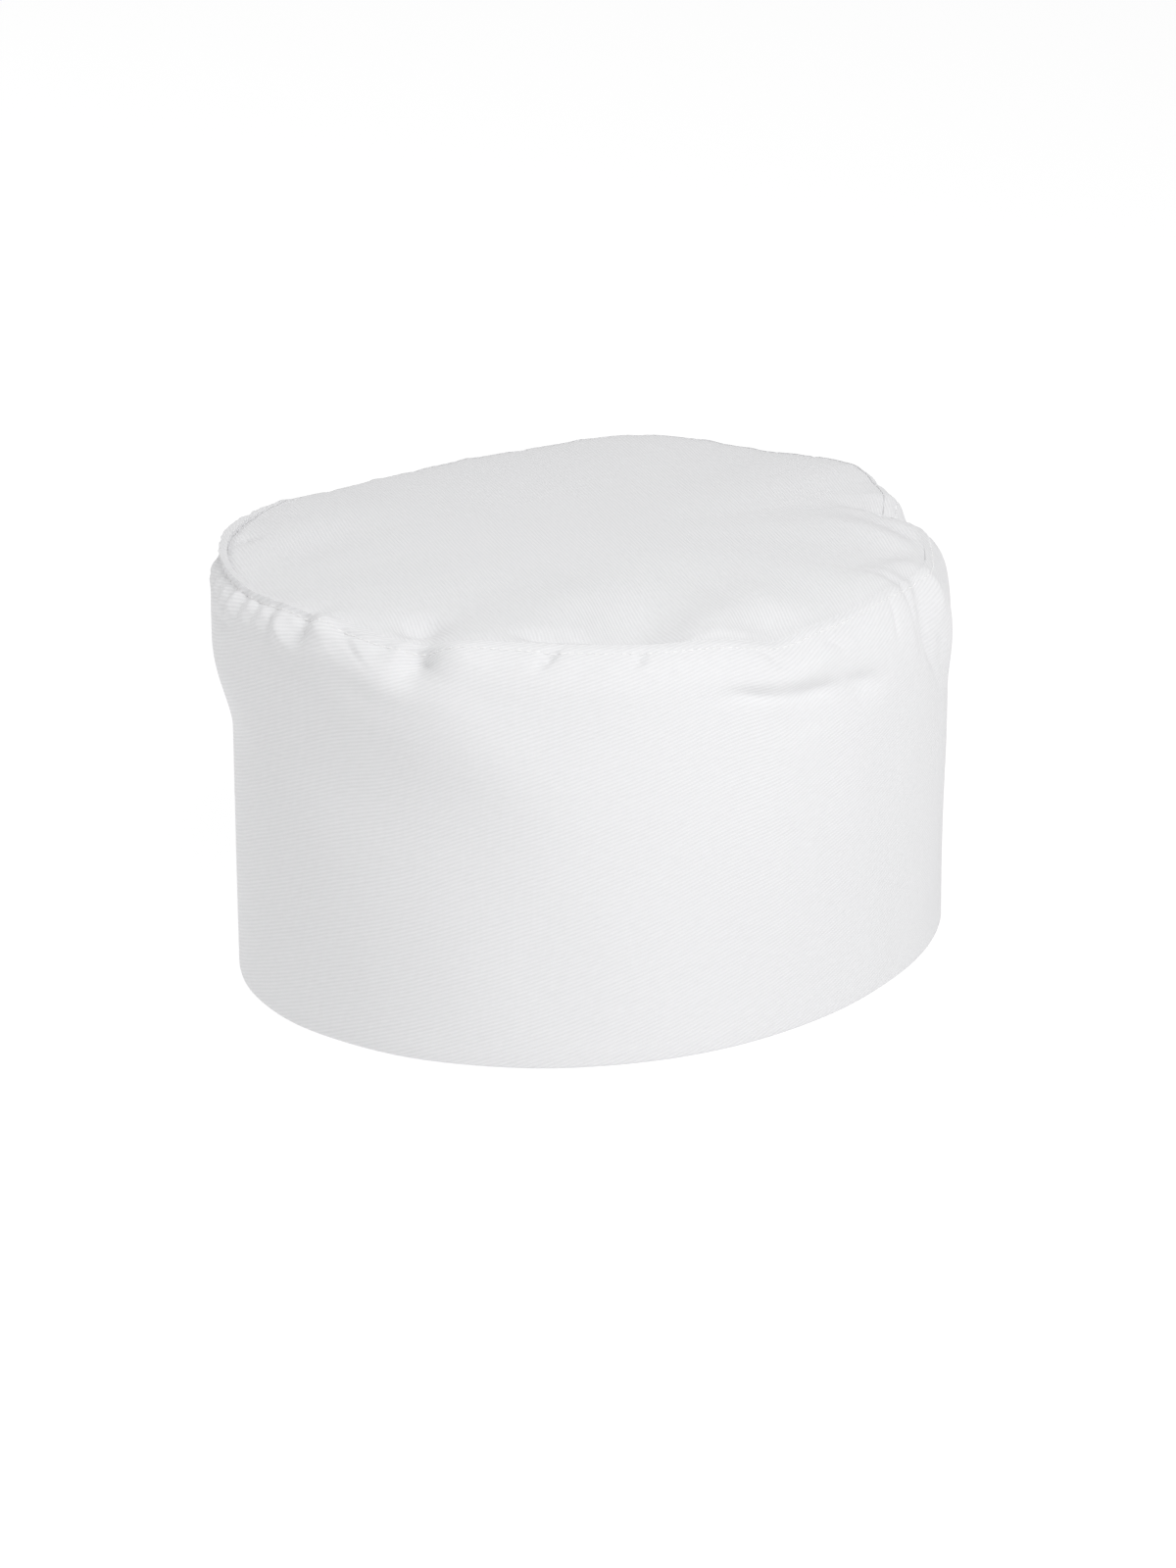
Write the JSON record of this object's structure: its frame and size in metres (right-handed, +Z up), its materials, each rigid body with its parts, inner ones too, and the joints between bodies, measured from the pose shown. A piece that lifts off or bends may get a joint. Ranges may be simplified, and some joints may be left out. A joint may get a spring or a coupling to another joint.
{
  "type": "chef skull cap",
  "caption": "Low rounded chef skull cap of twill: a doubled side band that rolls over its top edge into a flat sewn top panel, worn to cover the hair in a kitchen.",
  "frame": {"origin": "middle of the cap's bounding box, on the plane that the rim stands on", "axes": "+Z up out of the top panel, front of the cap toward -Y, +X toward the wearer's left as the cap is worn"},
  "size_m": [0.1718, 0.1994, 0.1074],
  "materials": {
    "band_twill": "matte white poly-cotton twill, lying double",
    "panel_twill": "matte white poly-cotton twill, single and faced"
  },
  "bodies": {
    "root": {"side_band": "band_twill", "top_panel": "panel_twill"}
  },
  "joints": []
}
